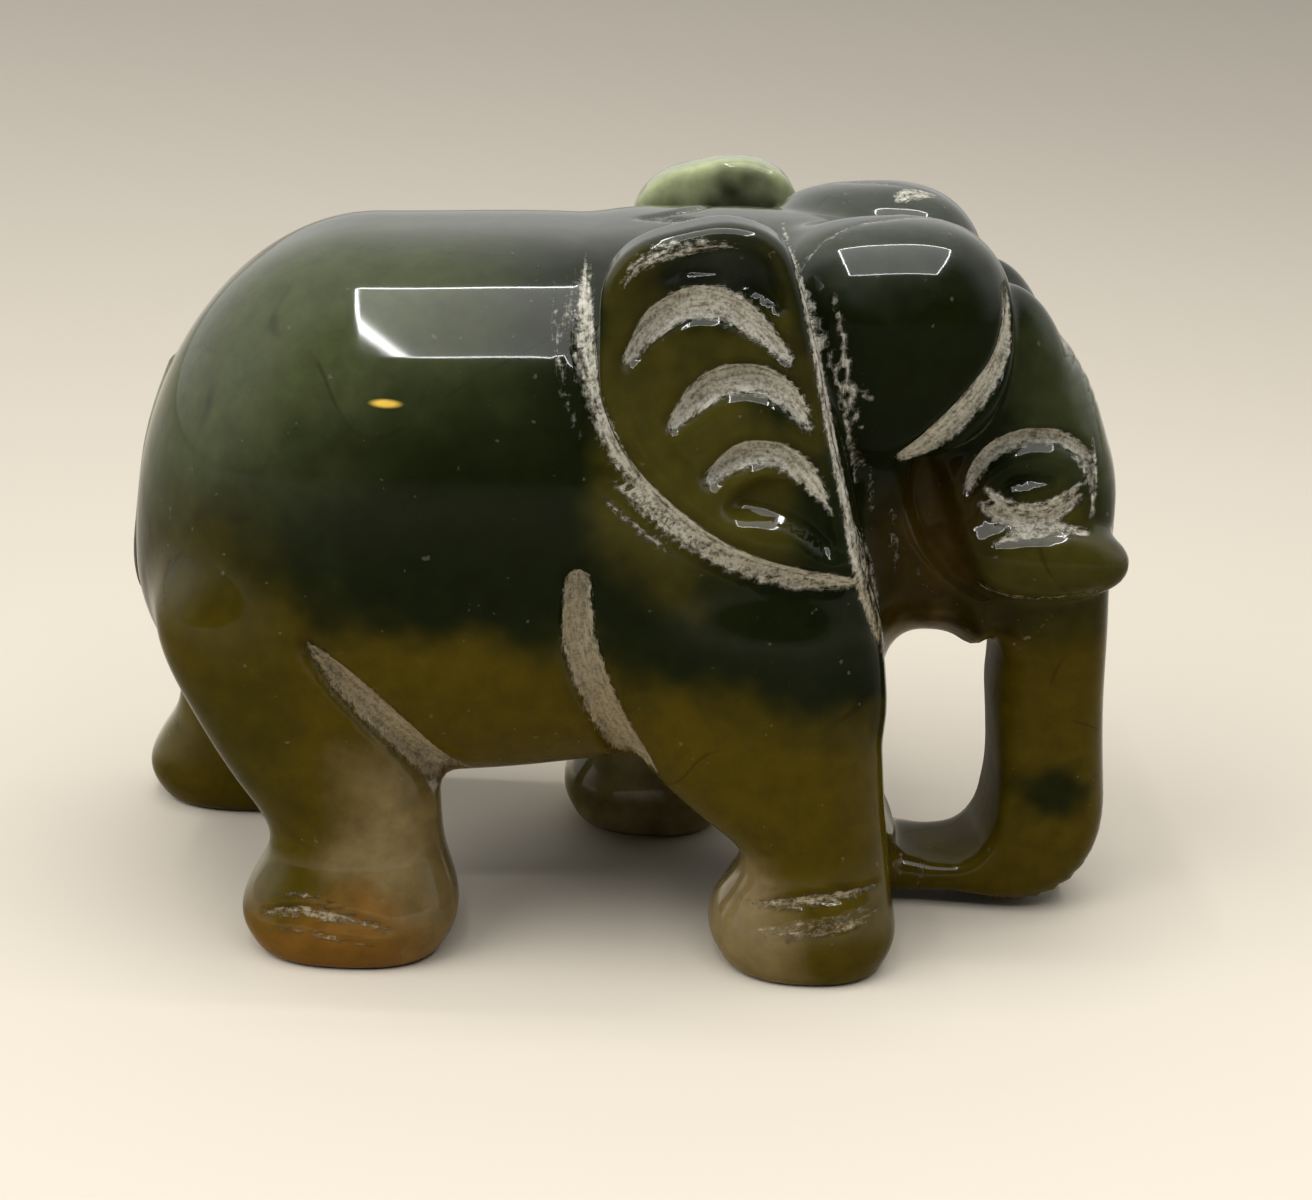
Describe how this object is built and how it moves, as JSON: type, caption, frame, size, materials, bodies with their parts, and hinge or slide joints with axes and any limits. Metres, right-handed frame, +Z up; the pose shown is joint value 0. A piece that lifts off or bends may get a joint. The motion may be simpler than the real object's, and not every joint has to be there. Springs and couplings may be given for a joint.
{
  "type": "stone elephant statuette",
  "caption": "Small carved and polished green stone elephant, standing on flared feet, with its trunk curled back to form a loop.",
  "frame": {"origin": "on the ground, below the middle of the figure's box", "axes": "+X towards the head and trunk, +Y to the elephant's left, +Z up"},
  "size_m": [0.0514, 0.025, 0.0374],
  "materials": {
    "green_stone": "polished, with rough pale kerfs where grooves are cut"
  },
  "bodies": {
    "root": {"elephant": "green_stone"}
  },
  "joints": []
}
